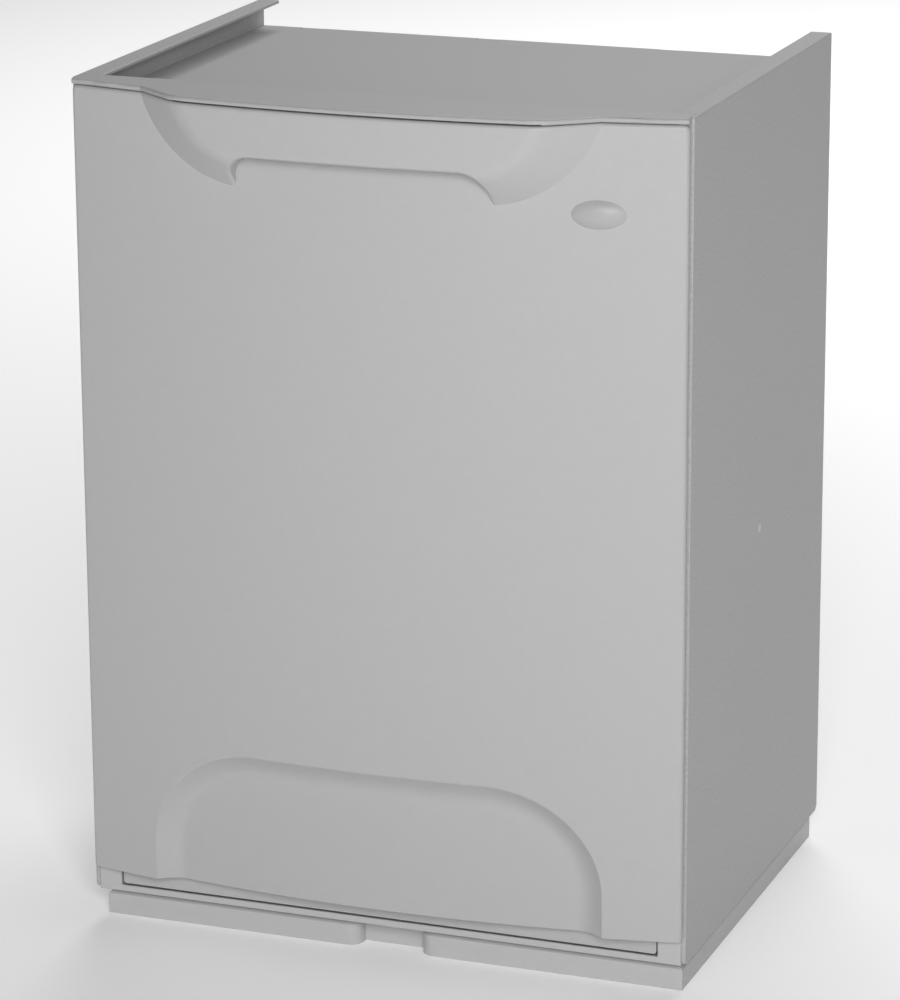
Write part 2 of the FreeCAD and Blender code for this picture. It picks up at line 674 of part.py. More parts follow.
def door_frame():
    """Stiffener behind the face: two uprights, a lower strip and shelf, and a top rib."""
    middle = box(-FRAME_HALF, FRAME_HALF, STRIP_FRONT_Y, STRIP_REAR_Y, STRIP_BOTTOM, STRIP_TOP)
    ends = box(-CHEEK_OUTER, CHEEK_OUTER, STRIP_FRONT_Y, STRIP_END_REAR_Y, STRIP_BOTTOM, STRIP_END_TOP)
    strip = fused([middle, ends])
    strip = strip.makeFillet(STRIP_ROUND, [edge for edge in strip.Edges if is_strip_end(edge)])
    shelf_front = WALL + ARCH_DEPTH + 0.3
    shelf = bowed_band(shelf_front, PIVOT_Y - 1.5, FRAME_HALF, FRAME_BOTTOM, FRAME_BOTTOM + WALL)
    top_rib = bowed_band(WALL + 0.7, PIVOT_Y, FRAME_HALF, FRAME_TOP - WALL, FRAME_TOP)
    frame = fused([strip, shelf, top_rib] + both_sides(frame_upright()))
    holes = []
    for x in (-FRAME_SCREW_X, FRAME_SCREW_X):
        for z in FRAME_SCREW_ZS:
            holes.append(rod(Y_AXIS, Vector(x, PIVOT_Y - WALL - 1, z), WALL + 2, CLEAR_R))
    for z in CHEEK_SCREW_ZS:
        holes.append(rod(X_AXIS, Vector(-FRAME_HALF - 1, CHEEK_SCREW_Y, z), 2 * FRAME_HALF + 2, PILOT_R))
    return frame.cut(Part.makeCompound(holes))


def is_strip_end(edge):
    """True for the lower corners at the strip's two ends."""
    bounds = edge.BoundBox
    at_end = min(abs(bounds.XMin), abs(bounds.XMax)) > CHEEK_OUTER - 0.01
    return at_end and bounds.ZMax < STRIP_BOTTOM + 0.01 and bounds.YLength > 1


def frame_upright():
    inner = FRAME_HALF - UPRIGHT_WIDE
    bar = bowed_band(WALL + 0.2, PIVOT_Y, FRAME_HALF, FRAME_BOTTOM, FRAME_TOP)
    bar = bar.common(box(inner, FRAME_HALF, AHEAD_Y, PIVOT_Y, FRAME_BOTTOM, FRAME_TOP))
    return bar.cut(box(inner - 1, FRAME_HALF - WALL, AHEAD_Y, PIVOT_Y - WALL, 0, HEIGHT))


def right_cheek():
    sweep = math.radians(CHEEK_SWEEP_DEG)

    def on_arc(angle):
        return Vector(
            CHEEK_INNER, PIVOT_Y + CHEEK_RADIUS * math.sin(angle), PIVOT_Z + CHEEK_RADIUS * math.cos(angle)
        )

    front_angle = -math.asin((PIVOT_Y - CHEEK_FRONT_Y) / CHEEK_RADIUS)
    corners = [
        on_arc(sweep),
        Vector(CHEEK_INNER, PIVOT_Y + CHEEK_TOE_REAR, STRIP_TOP + 2),
        Vector(CHEEK_INNER, PIVOT_Y + CHEEK_TOE_REAR, CHEEK_BOTTOM),
        Vector(CHEEK_INNER, PIVOT_Y - CHEEK_TOE_FRONT, CHEEK_BOTTOM),
        Vector(CHEEK_INNER, PIVOT_Y - CHEEK_TOE_FRONT, STRIP_END_TOP + 0.5),
        Vector(CHEEK_INNER, CHEEK_FRONT_Y, FRAME_BOTTOM - 0.5),
        on_arc(front_angle),
    ]
    edges = [Part.makeLine(start, end) for start, end in zip(corners, corners[1:])]
    edges.append(Part.Arc(corners[-1], on_arc((front_angle + sweep) / 2), corners[0]).toShape())
    plate = Part.Face(Part.Wire(edges)).extrude(X_AXIS * (CHEEK_OUTER - CHEEK_INNER))
    pivot = Vector(CHEEK_INNER, PIVOT_Y, PIVOT_Z)
    peg_angle = math.radians(STOP_DEG)
    peg = Vector(
        CHEEK_OUTER - 1,
        PIVOT_Y + STOP_RADIUS * math.sin(peg_angle),
        PIVOT_Z + STOP_RADIUS * math.cos(peg_angle),
    )
    ledge = box(143.0, CHEEK_INNER + 1, 55.0, 80.0, RING_BOTTOM - 4.0, RING_BOTTOM - 0.3)
    hub = rod(X_AXIS, pivot, HUB_LENGTH, HUB_R)
    cheek = fused([plate, hub, rod(X_AXIS, peg, STOP_PEG_LENGTH, STOP_PEG_R), ledge])
    holes = [rod(X_AXIS, pivot, 4.0, PIN_R)]
    holes.append(rod(X_AXIS, Vector(CHEEK_INNER, RING_PIVOT_Y, RING_PIVOT_Z), WALL, PIN_R + PIN_PLAY))
    for z in CHEEK_SCREW_ZS:
        holes.append(rod(X_AXIS, Vector(CHEEK_INNER, CHEEK_SCREW_Y, z), WALL, CLEAR_R))
        sink = Vector(CHEEK_OUTER - HEAD_TALL, CHEEK_SCREW_Y, z)
        holes.append(Part.makeCone(CLEAR_R, SINK_R, HEAD_TALL, sink, X_AXIS))
    return cheek.cut(Part.makeCompound(holes))


def right_hinge_pin():
    return rod(X_AXIS, Vector(CHEEK_INNER, PIVOT_Y, PIVOT_Z), HINGE_PIN_LENGTH, PIN_R)


def oval_badge():
    """Plain oval cap on a stub, turned to sit flat on the bowed face."""
    face_turn = math.degrees(math.asin(BADGE_X / BOW_RADIUS))
    oval = Part.Ellipse(Vector(0, 0, 0), BADGE_LONG / 2, BADGE_TALL / 2).toShape()
    cap = Part.Face(Part.Wire([oval])).extrude(Z_AXIS * BADGE_PROUD)
    rim = [edge for edge in cap.Edges if edge.BoundBox.ZMin > BADGE_PROUD - 0.1]
    cap = cap.makeFillet(BADGE_PROUD * 0.8, rim)
    cap.rotate(Vector(0, 0, 0), X_AXIS, 90)
    cap.rotate(Vector(0, 0, 0), Z_AXIS, face_turn)
    cap.translate(Vector(BADGE_X, face_y(BADGE_X) - 0.02, BADGE_Z))
    return cap


def cheek_screws():
    screws = []
    for z in CHEEK_SCREW_ZS:
        head = Part.makeCone(1.25, 2.8, 1.5, Vector(CHEEK_OUTER - 1.55, CHEEK_SCREW_Y, z), X_AXIS)
        shank = rod(X_AXIS, Vector(CHEEK_INNER - 5, CHEEK_SCREW_Y, z), 6.0, 1.25)
        screws += both_sides(head.fuse(shank).removeSplitter())
    return Part.makeCompound(screws)


def frame_screws():
    screws = []
    for x in (-FRAME_SCREW_X, FRAME_SCREW_X):
        for z in FRAME_SCREW_ZS:
            head = rod(Y_AXIS, Vector(x, PIVOT_Y + 0.05, z), HEAD_TALL, HEAD_R)
            shank = rod(Y_AXIS, Vector(x, PIVOT_Y - 10, z), 11.0, SHANK_R)
            screws.append(head.fuse(shank).removeSplitter())
    return Part.makeCompound(screws)


# ---- Bag ring parts ----

def ring_plate(inset, z0, z1):
    """The ring's rounded outline, drawn in by an inset, as a plate."""
    front = RING_FRONT_Y + inset
    rear = RING_REAR_Y - inset
    return rounded_plate(RING_HALF - inset, front, rear, z0, z1, RING_ROUND - inset)


def bag_ring():
    """Hoop that the bag's mouth folds over, an upturned channel with two tuck slots."""
    inner_half = RING_HALF - RING_BAND
    inner_rear = RING_REAR_Y - RING_BAND
    outer = ring_plate(0.0, RING_BOTTOM, RING_TOP)
    hole = ring_plate(RING_BAND, RING_BOTTOM - 1, RING_TOP + 1)
    groove_outer = ring_plate(RING_SKIN, RING_BOTTOM - 1, RING_TOP - RING_SKIN)
    groove_inner = ring_plate(RING_BAND - RING_SKIN, RING_BOTTOM - 1, RING_TOP - RING_SKIN)
    ring = outer.cut(hole).cut(groove_outer.cut(groove_inner))
    boss = rod(X_AXIS, Vector(inner_half + 1, RING_PIVOT_Y, RING_PIVOT_Z), RING_BAND - 1, RING_BOSS_R)
    ring = fused([ring] + both_sides(boss))
    pin_hole = rod(X_AXIS, Vector(inner_half - 1, RING_PIVOT_Y, RING_PIVOT_Z), RING_BAND + 2, PIN_R)
    slots = both_sides(pin_hole)
    slots += both_sides(box(60.0, 90.0, inner_rear + 4, inner_rear + 7, RING_TOP - 3, RING_TOP + 1))
    return ring.cut(Part.makeCompound(slots))


def right_ring_pin():
    shank = rod(X_AXIS, Vector(RING_HALF - RING_BAND, RING_PIVOT_Y, RING_PIVOT_Z), 15.8, PIN_R)
    head = rod(X_AXIS, Vector(CHEEK_OUTER + SHY, RING_PIVOT_Y, RING_PIVOT_Z), 1.0, RING_BOSS_R)
    return shank.fuse(head).removeSplitter()


PAIRS = {
    "side_panel": right_side_panel,
    "hinge_bush": right_hinge_bush,
    "stop_block": right_stop_block,
    "side_plug": right_side_plug,
    "cheek": right_cheek,
    "hinge_pin": right_hinge_pin,
    "ring_pin": right_ring_pin,
}

SINGLES = {
    "top_cover": top_cover,
    "back_panel": back_panel,
    "base_tray": base_tray,
    "back_screws": back_screws,
    "base_screws": base_screws,
    "door_face": door_face,
    "door_frame": door_frame,
    "oval_badge": oval_badge,
    "cheek_screws": cheek_screws,
    "frame_screws": frame_screws,
    "bag_ring": bag_ring,
}

os.makedirs("parts", exist_ok=True)
for name, make in PAIRS.items():
    right = make()
    right.exportStep("parts/right_" + name + ".step")
    mirrored(right).exportStep("parts/left_" + name + ".step")
for name, make in SINGLES.items():
    make().exportStep("parts/" + name + ".step")
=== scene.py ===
import math

import bmesh
import bpy
from mathutils import Matrix, Vector


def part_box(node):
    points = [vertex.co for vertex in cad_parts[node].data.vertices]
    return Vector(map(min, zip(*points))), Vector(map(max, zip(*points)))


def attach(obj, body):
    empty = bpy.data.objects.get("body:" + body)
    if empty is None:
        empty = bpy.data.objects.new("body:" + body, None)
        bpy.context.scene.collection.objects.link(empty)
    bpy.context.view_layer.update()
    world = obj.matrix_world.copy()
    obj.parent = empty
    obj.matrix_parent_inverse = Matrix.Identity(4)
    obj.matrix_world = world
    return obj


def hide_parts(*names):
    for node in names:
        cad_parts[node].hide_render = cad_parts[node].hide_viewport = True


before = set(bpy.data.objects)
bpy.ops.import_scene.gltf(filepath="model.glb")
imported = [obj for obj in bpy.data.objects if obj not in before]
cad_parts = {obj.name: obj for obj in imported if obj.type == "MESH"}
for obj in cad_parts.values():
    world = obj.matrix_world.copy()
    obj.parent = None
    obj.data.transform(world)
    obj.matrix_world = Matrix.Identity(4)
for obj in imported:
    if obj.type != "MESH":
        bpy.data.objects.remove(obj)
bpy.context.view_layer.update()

MM = 0.001

# ---- The door's surface, in millimetres, as the CAD part defines it ----
FACE_HALF = 168.6                       # half the door's width
FACE_CENTRE_Y = -129.5
FACE_BOW = 18.0                         # how far the middle stands in front of the sides
BOW_RADIUS = (FACE_HALF ** 2 + FACE_BOW ** 2) / (2 * FACE_BOW)
DOOR_BOTTOM = 31.5
DOOR_TOP = 466.6
DOOR_CORNER = 3.0
DOOR_LOW_CORNER = 1.5
WALL = 2.5
EDGE_ROUND = 1.9
LOW_ROUND = 0.8
LIP_ROUND = 2.0
LIP_FROM = 0.5                          # the finger slot's lip is rounded from here above the cup's outline

CUP_RISE = 15.5                         # how far the cup stands in front of the face
CUP_CORNER_X = 64.6                     # centre of the cup's round ends
CUP_CORNER_Z = 486.6
CUP_RADIUS = 64.2
CUP_CREST_X = 32.5                      # half axes of the oval, about that centre, where the cup is level
CUP_CREST_Z = 43.6
FLANK_EVEN = 0.6                        # share of the cup's flank with one even slope
SLOT_HALF = 70.0
SLOT_TOP = 441.0
SLOT_ROUND = 13.5
POCKET_OPEN_HALF = 60.0                 # between these the slot opens up into the cup's hollow

ARCH_HALF = 127.7
ARCH_TOP = 111.5
ARCH_CORNER_X = 64.0
ARCH_CORNER_Z = 58.0
ARCH_DEPTH = 8.5
ARCH_RUN = 14.0                         # width of the slope around the recess
ARCH_INNER_X = ARCH_HALF - ARCH_CORNER_X
ARCH_INNER_Z = ARCH_TOP - ARCH_CORNER_Z

ROOF_HALF = CUP_CORNER_X + 46.0         # the plate that closes the cup's hollow at the top
ROOF_INSET = 0.1                        # how far that plate reaches into the walls around it
POCKET_WALL = WALL - 0.5                # thickness of the wall around the finger slot
POCKET_IN_SHELL = 0.4                   # how far that wall reaches into the cup's shell
POCKET_IN_FACE = 1.0                    # and how deep it ends inside the face
POCKET_LEAST = 0.1                      # its least length from front to rear

MOULD_DEPTH = 1.2                       # how deep bosses and lugs start inside the face's wall
LUG_X = 160.5
LUG_Z = 424.0
LUG_HALF = 4.0
LUG_REAR_Y = -106.8
BOSS_X = 144.0
BOSS_ZS = (150.0, 400.0)
BOSS_R = 3.5
BOSS_REAR_Y = -103.6
BOSS_SEGMENTS = 32

BADGE_HALF_LONG = 14.0
BADGE_PROUD = 2.9
BADGE_CROWN = 2.4                       # the power of the dome's profile: higher is flatter on top
BADGE_TUCK = 0.6                        # how far the badge's edge goes into the face

# ---- How finely the door is meshed: rows lie closer together where the surface turns ----
CORNER_COLUMNS = 27
TOP_COLUMNS = 41
LOW_EDGE_RISES = (0.0, 0.04, 0.12, 0.25, 0.42, 0.62, 0.85, 1.15, 1.5)   # above the door's lower edge
SIDE_START = 2.5                        # the first even row above the door's lower edge
SIDE_ROWS = 12
RIM_STEPS = (0.0, 1.0, 1.3, 1.6, 1.9, 2.2, 2.45, 2.65, 2.8, 2.9, 2.96, 3.0)     # across the rim
RIM_CORNER_SPOKES = 9
ARCH_CENTRE_SHARES = (0.0, 0.3, 0.55)   # across the level middle of the arched recess
ARCH_CRISP = 0.4                        # distance of the row that keeps the arch's outline crisp
ARCH_BEYOND_RUN = 1.1                   # the row just past the end of the arch's slope, in slopes
ARCH_SLOPE_ROWS = 15
OUTSIDE_SPANS = (0.004, 0.02, 0.05)     # just outside the arch, as shares of the way to the rim
OUTSIDE_START = 0.1                     # the first even row after those
OUTSIDE_ROWS = 24
CUP_FOOT_SHARES = (0.0, 0.012, 0.03, 0.055, 0.085, 0.115)               # of the height above the outline
LIP_RISES = (0.0, 0.06, 0.18, 0.35, 0.6, 0.9, 1.25, 1.6, 2.1, 3.0)      # above the finger slot's edge
TOP_FALLS = (2.0, 1.6, 1.2, 0.85, 0.55, 0.3, 0.12, 0.03, 0.0)           # below the door's top
BESIDE_SLOT_STEPS = (0.15, 0.35, 0.6, 0.9, 1.3, 2.0, 3.0)               # sideways from the finger slot
TIP_GAPS = (4.5, 3.2, 2.2, 1.4, 0.8, 0.4, 0.15)                         # inwards from the cup's tip
CUP_BODY_START = 4.5                    # the first even row above the finger slot's edge
CUP_BODY_END = 3.0                      # and the last, below the door's top
CUP_BODY_ROWS = 22
CUP_SIDE_START = 4.2                    # the first even column beside the finger slot
CUP_SIDE_END = 6.0                      # and the last, before the cup's tip
CUP_SIDE_COLUMNS = 36
CUP_MIDDLE_COLUMNS = 30
SLOT_CORNER_COLUMNS = 17
POCKET_COLUMNS = 19
ROOF_COLUMNS = 61
BADGE_STEPS = 72
BADGE_EDGE_SHARES = (1.0, 0.99, 0.97)   # of the badge's half size, close to its edge
BADGE_DOME_START = 0.94                 # the first even row after those
BADGE_DOME_END = 0.02
BADGE_DOME_ROWS = 15
SAME_PLACE = 0.001                      # points closer than this are one point
CRISP_ANGLE = 50                        # edges that turn by more degrees than this stay sharp


def face_y(x):
    """Depth of the plain bowed face."""
    return FACE_CENTRE_Y + BOW_RADIUS - math.sqrt(BOW_RADIUS ** 2 - x ** 2)


def quick_rise(part):
    """Steep at the outline, level at the end."""
    return math.sin(math.pi / 2 * min(max(part, 0.0), 1.0))


def flank_rise(part):
    """One even slope at first, then rounded to level at the end."""
    part = min(max(part, 0.0), 1.0)
    slope = 2 / (1 + FLANK_EVEN)
    if part < FLANK_EVEN:
        return slope * part
    return 1 - slope * (1 - part) ** 2 / (2 * (1 - FLANK_EVEN))


def cup_rise(x, z):
    """How far the cup handle stands in front of the face."""
    side = max(abs(x) - CUP_CORNER_X, 0.0)
    drop = CUP_CORNER_Z - z
    reach = math.hypot(side, drop)
    crest = reach / math.hypot(side / CUP_CREST_X, drop / CUP_CREST_Z)
    return CUP_RISE * flank_rise((CUP_RADIUS - reach) / (CUP_RADIUS - crest))


def arch_share(x, z):
    """1 on the arch's outline, less inside it, more outside."""
    side = max(abs(x) - ARCH_INNER_X, 0.0) / ARCH_CORNER_X
    above = max(z - ARCH_INNER_Z, 0.0) / ARCH_CORNER_Z
    return math.hypot(side, above)


def arch_depth(x, z):
    """How far the arched recess goes behind the face."""
    inside = (1.0 - arch_share(x, z)) * ARCH_CORNER_Z
    return ARCH_DEPTH * quick_rise(inside / ARCH_RUN)


def rounding(distance, radius):
    """How far a rounded edge falls back at a distance from the edge."""
    short = max(radius - max(distance, 0.0), 0.0)
    return radius - math.sqrt(radius ** 2 - short ** 2)


def slot_distance(x, z):
    """Distance outside the finger slot's rounded outline."""
    side = max(abs(x) - (SLOT_HALF - SLOT_ROUND), 0.0)
    above = max(z - (SLOT_TOP - SLOT_ROUND), 0.0)
    return math.hypot(side, above) - SLOT_ROUND


# ---- Mesh helpers ----

def spaced(first, last, count):
    """Evenly spaced values, with both ends."""
    return [first + (last - first) * step / (count - 1) for step in range(count)]


def new_piece(name, bm, body, material):
    """Make an object from a bmesh given in millimetres."""
    bmesh.ops.scale(bm, vec=Vector((MM, MM, MM)), verts=bm.verts)
    bmesh.ops.recalc_face_normals(bm, faces=bm.faces)
    mesh = bpy.data.meshes.new(name)
    bm.to_mesh(mesh)
    bm.free()
    mesh.shade_smooth()
    piece = bpy.data.objects.new(name, mesh)
    bpy.context.scene.collection.objects.link(piece)
    mesh.materials.append(material)
    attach(piece, body)
    return piece


def add_grid(bm, rows):
    """Join rows of points into quads. Each row has as many points as the next."""
    verts = [[bm.verts.new(point) for point in row] for row in rows]
    for row, following in zip(verts, verts[1:]):
        for index in range(len(row) - 1):
            bm.faces.new((row[index], row[index + 1], following[index + 1], following[index]))


def thicken(bm, back_y):
    """Close an open sheet with a rear copy, whose depth is a function of the place."""
    bmesh.ops.remove_doubles(bm, verts=bm.verts, dist=SAME_PLACE)
    result = bmesh.ops.extrude_face_region(bm, geom=bm.faces[:], use_keep_orig=True)
    for item in result["geom"]:
        if isinstance(item, bmesh.types.BMVert):
            item.co.y = back_y(item.co.x, item.co.z)


# ---- Door face ----

def arch_columns():
    """Places along the arch, from the lower left, over the top, to the lower right."""
    columns = [("side", z) for z in side_heights()[:-1]]
    for angle in spaced(180.0, 90.0, CORNER_COLUMNS):
        columns.append(("corner", math.radians(angle)))
    for x in spaced(-ARCH_INNER_X, ARCH_INNER_X, TOP_COLUMNS)[1:-1]:
        columns.append(("top", x))
    mirrored = [("right_corner", place) for kind, place in reversed(columns) if kind == "corner"]
    mirrored += [("right_side", place) for kind, place in reversed(columns) if kind == "side"]
    return columns + mirrored


def side_heights():
    """Heights below the arch's corner, close together at the rounded lower edge."""
    low = [DOOR_BOTTOM + rise for rise in LOW_EDGE_RISES]
    return low + spaced(DOOR_BOTTOM + SIDE_START, ARCH_INNER_Z, SIDE_ROWS)


def arch_point(column, share):
    """A place on a column, at a share of the way from the middle to the arch's outline."""
    kind, place = column
    if kind == "top":
        return place, ARCH_INNER_Z + ARCH_CORNER_Z * share
    if kind in ("side", "right_side"):
        x, z = -ARCH_INNER_X - ARCH_CORNER_X * share, place
    else:
        x = -ARCH_INNER_X + ARCH_CORNER_X * share * math.cos(place)
        z = ARCH_INNER_Z + ARCH_CORNER_Z * share * math.sin(place)
    return (-x, z) if kind.startswith("right") else (x, z)


RIM_X = FACE_HALF - DOOR_CORNER         # the square-cornered rectangle inside the rounded rim
RIM_Z = DOOR_TOP - DOOR_CORNER
CORNER_SHARE = 21 / (CORNER_COLUMNS - 1)        # the arch corner's column that runs to the door's corner


def rim_point(column):
    """Where a column meets the rectangle inside the rounded rim."""
    kind, place = column
    if kind == "top":
        return place, RIM_Z
    if kind in ("side", "right_side"):
        x, z = -RIM_X, place
    else:
        travelled = (math.pi - place) / (math.pi / 2)
        up = min(travelled / CORNER_SHARE, 1.0)
        along = max((travelled - CORNER_SHARE) / (1 - CORNER_SHARE), 0.0)
        x = -RIM_X + (RIM_X - ARCH_INNER_X) * along
        z = ARCH_INNER_Z + (RIM_Z - ARCH_INNER_Z) * up
    return (-x, z) if kind.startswith("right") else (x, z)


def rim_directions(x, z):
    """The ways that the rim runs outwards from a point on the inner rectangle."""
    side = math.copysign(1.0, x)
    on_side = abs(x) > RIM_X - SAME_PLACE
    on_top = z > RIM_Z - SAME_PLACE
    if on_side and on_top:
        turns = [math.radians(turn) for turn in spaced(0, 90, RIM_CORNER_SPOKES)]
        fan = [(side * math.cos(turn), math.sin(turn)) for turn in turns]
        return fan if side < 0 else fan[::-1]
    if on_top:
        return [(0.0, 1.0)]
    short = max(DOOR_LOW_CORNER - (z - DOOR_BOTTOM), 0.0)
    lost = DOOR_LOW_CORNER - math.sqrt(DOOR_LOW_CORNER ** 2 - short ** 2)
    return [(side * (1.0 - lost / DOOR_CORNER), 0.0)]


def outline_distance(x, z):
    """Distance inside the door's outline, with its rounded upper corners."""
    side = abs(x) - RIM_X
    above = z - RIM_Z
    if side > 0 and above > 0:
        return DOOR_CORNER - math.hypot(side, above)
    return DOOR_CORNER - max(side, above)


def face_back(x, z):
    """Depth of the rear of the face's wall."""
    return face_y(x) + arch_depth(x, z) + WALL


def face_point(x, z):
    """A point of the face's front, with its recess and its rounded rim."""
    fall = rounding(outline_distance(x, z), EDGE_ROUND) + rounding(z - DOOR_BOTTOM, LOW_ROUND)
    return x, face_y(x) + arch_depth(x, z) + fall, z


def add_face_sheet(bm):
    """The front of the face: the recess inside the arch, the plain part outside it, and the rim."""
    columns = arch_columns()
    crisp = ARCH_CRISP / ARCH_CORNER_Z
    run = ARCH_RUN / ARCH_CORNER_Z
    shares = [*ARCH_CENTRE_SHARES, 1 - run * ARCH_BEYOND_RUN]
    shares += [1 - run * part for part in spaced(1.0, 0.0, ARCH_SLOPE_ROWS)]
    shares = sorted(set(shares + [1 - crisp]))
    spans = [*OUTSIDE_SPANS, *spaced(OUTSIDE_START, 1.0, OUTSIDE_ROWS)]
    rows = []
    for share in shares:
        rows.append([face_point(*arch_point(column, share)) for column in columns])
    for span in spans:
        rows.append([face_point(*between(arch_point(c, 1.0), rim_point(c), span)) for c in columns])
    add_grid(bm, rows)
    add_rim(bm, columns)
    middle = []
    for z in side_heights():
        middle.append([face_point(x, z) for x in spaced(-ARCH_INNER_X, ARCH_INNER_X, TOP_COLUMNS)])
    add_grid(bm, middle)


def add_rim(bm, columns):
    """The rounded rim along the door's sides and top."""
    spokes = []
    for column in columns:
        x, z = rim_point(column)
        for along, up in rim_directions(x, z):
            spokes.append((x, z, along, up))
    rows = []
    for out in RIM_STEPS:
        rows.append([face_point(x + along * out, z + up * out) for x, z, along, up in spokes])
    add_grid(bm, rows)


def between(first, last, share):
    """A point part-way from one point to another."""
    return tuple(a + (b - a) * share for a, b in zip(first, last))


def cup_outline_z(x):
    """Lowest point of the cup's outline at a place across the door."""
    side = max(abs(x) - CUP_CORNER_X, 0.0)
    return CUP_CORNER_Z - math.sqrt(max(CUP_RADIUS ** 2 - side ** 2, 0.0))


def slot_edge_z(x):
    """Height of the finger slot's upper edge at a place across the door."""
    side = max(abs(x) - (SLOT_HALF - SLOT_ROUND), 0.0)
    return SLOT_TOP - SLOT_ROUND + math.sqrt(max(SLOT_ROUND ** 2 - side ** 2, 0.0))


def cup_surface(x, z):
    """Depth of the cup's front, with its rounded lip and top edge."""
    lip = rounding(slot_distance(x, z), LIP_ROUND) if z > cup_outline_z(x) + LIP_FROM else 0.0
    return face_y(x) - cup_rise(x, z) + lip + rounding(DOOR_TOP - z, EDGE_ROUND)


def cup_back(x, z):
    """Depth of the rear of the cup's wall."""
    return face_y(x) - cup_rise(x, z) + WALL


def add_cup_shell(bm):
    """The raised cup, from its outline or the slot's edge up to the door's top."""
    tip = CUP_CORNER_X + math.sqrt(CUP_RADIUS ** 2 - (CUP_CORNER_Z - DOOR_TOP) ** 2)
    low = cup_outline_z(SLOT_HALF)
    slot_share = (SLOT_TOP - SLOT_ROUND - low) / (DOOR_TOP - low)
    height = DOOR_TOP - low
    lip = [slot_share + rise / height for rise in LIP_RISES]
    body = spaced(slot_share + CUP_BODY_START / height, 1 - CUP_BODY_END / height, CUP_BODY_ROWS)
    top = [1 - fall / height for fall in TOP_FALLS]
    above_slot = lip + body + top
    across = SLOT_HALF - SLOT_ROUND
    turns = [math.radians(angle) for angle in spaced(0, 90, SLOT_CORNER_COLUMNS)]
    inner = spaced(0.0, across, CUP_MIDDLE_COLUMNS)[:-1]
    inner += [across + SLOT_ROUND * math.sin(turn) for turn in turns]
    shares = [(share - slot_share) / (1 - slot_share) for share in above_slot]
    rows = []
    for x in [-x for x in reversed(inner)] + inner[1:]:
        start = slot_edge_z(x)
        rows.append([cup_point(x, start + (DOOR_TOP - start) * share) for share in shares])
    add_grid(bm, rows)
    outer = [SLOT_HALF] + [SLOT_HALF + step for step in BESIDE_SLOT_STEPS]
    outer += spaced(SLOT_HALF + CUP_SIDE_START, tip - CUP_SIDE_END, CUP_SIDE_COLUMNS)
    outer += [tip - gap for gap in TIP_GAPS]
    shares = [*CUP_FOOT_SHARES, *above_slot]
    for side in (-1, 1):
        rows = []
        for x in outer:
            start = cup_outline_z(x)
            rows.append([cup_point(side * x, start + (DOOR_TOP - start) * share) for share in shares])
        add_grid(bm, rows)


def cup_point(x, z):
    return x, cup_surface(x, z), z


def add_cup_roof(bm):
    """Plate that closes the cup's hollow at the door's top."""
    top = []
    for x in spaced(-ROOF_HALF, ROOF_HALF, ROOF_COLUMNS):
        front = cup_surface(x, DOOR_TOP) - ROOF_INSET
        top.append([(x, front, DOOR_TOP), (x, face_y(x) + WALL - ROOF_INSET, DOOR_TOP)])
    sheet = bmesh.new()
    add_grid(sheet, top)
    result = bmesh.ops.extrude_face_region(sheet, geom=sheet.faces[:], use_keep_orig=True)
    pushed = [item for item in result["geom"] if isinstance(item, bmesh.types.BMVert)]
    bmesh.ops.translate(sheet, vec=Vector((0, 0, -WALL)), verts=pushed)
    merge_into(bm, sheet)


def pocket_outline():
    """The right half of the slot's outline, from its foot to where the pocket opens upwards."""
    open_angle = math.degrees(math.acos((POCKET_OPEN_HALF - SLOT_HALF + SLOT_ROUND) / SLOT_ROUND))
    points = []
    for angle in spaced(0.0, open_angle, POCKET_COLUMNS):
        across = math.cos(math.radians(angle))
        up = math.sin(math.radians(angle))
        points.append((across, up))
    return points


def add_pocket_wall(bm, side):
    """Wall from the slot's rounded side back to the face."""
    loops = []
    for across, up in pocket_outline():
        corners = []
        for out in (0.0, POCKET_WALL):
            x = SLOT_HALF - SLOT_ROUND + (SLOT_ROUND + out) * across
            z = SLOT_TOP - SLOT_ROUND + (SLOT_ROUND + out) * up
            rear = face_y(x) + POCKET_IN_FACE
            front = min(cup_back(x, z) - POCKET_IN_SHELL, rear - POCKET_LEAST)
            corners.append((side * x, front, z))
            corners.append((side * x, rear, z))
        inner_front, inner_back, outer_front, outer_back = corners
        loops.append([inner_front, outer_front, outer_back, inner_back, inner_front])
    wall = bmesh.new()
    add_grid(wall, loops)
    bmesh.ops.remove_doubles(wall, verts=wall.verts, dist=SAME_PLACE)
    bmesh.ops.holes_fill(wall, edges=[edge for edge in wall.edges if edge.is_boundary])
    merge_into(bm, wall)


def merge_into(bm, other):
    """Add another bmesh's geometry, and free it."""
    mesh = bpy.data.meshes.new("part")
    other.to_mesh(mesh)
    other.free()
    bm.from_mesh(mesh)
    bpy.data.meshes.remove(mesh)


def add_block(bm, x0, x1, y0, y1, z0, z1):
    """Plain box between two corners."""
    middle = Vector(((x0 + x1) / 2, (y0 + y1) / 2, (z0 + z1) / 2))
    size = Matrix.Diagonal((x1 - x0, y1 - y0, z1 - z0, 1.0))
    bmesh.ops.create_cube(bm, size=1.0, matrix=Matrix.Translation(middle) @ size)


def add_inner_details(bm):
    """The screw bosses and closing lugs on the rear of the face."""
    for side in (-1, 1):
        x = side * LUG_X
        front = face_y(x) + MOULD_DEPTH
        add_block(bm, x - LUG_HALF, x + LUG_HALF, front, LUG_REAR_Y, LUG_Z - LUG_HALF, LUG_Z + LUG_HALF)
        for z in BOSS_ZS:
            add_boss(bm, side * BOSS_X, z)


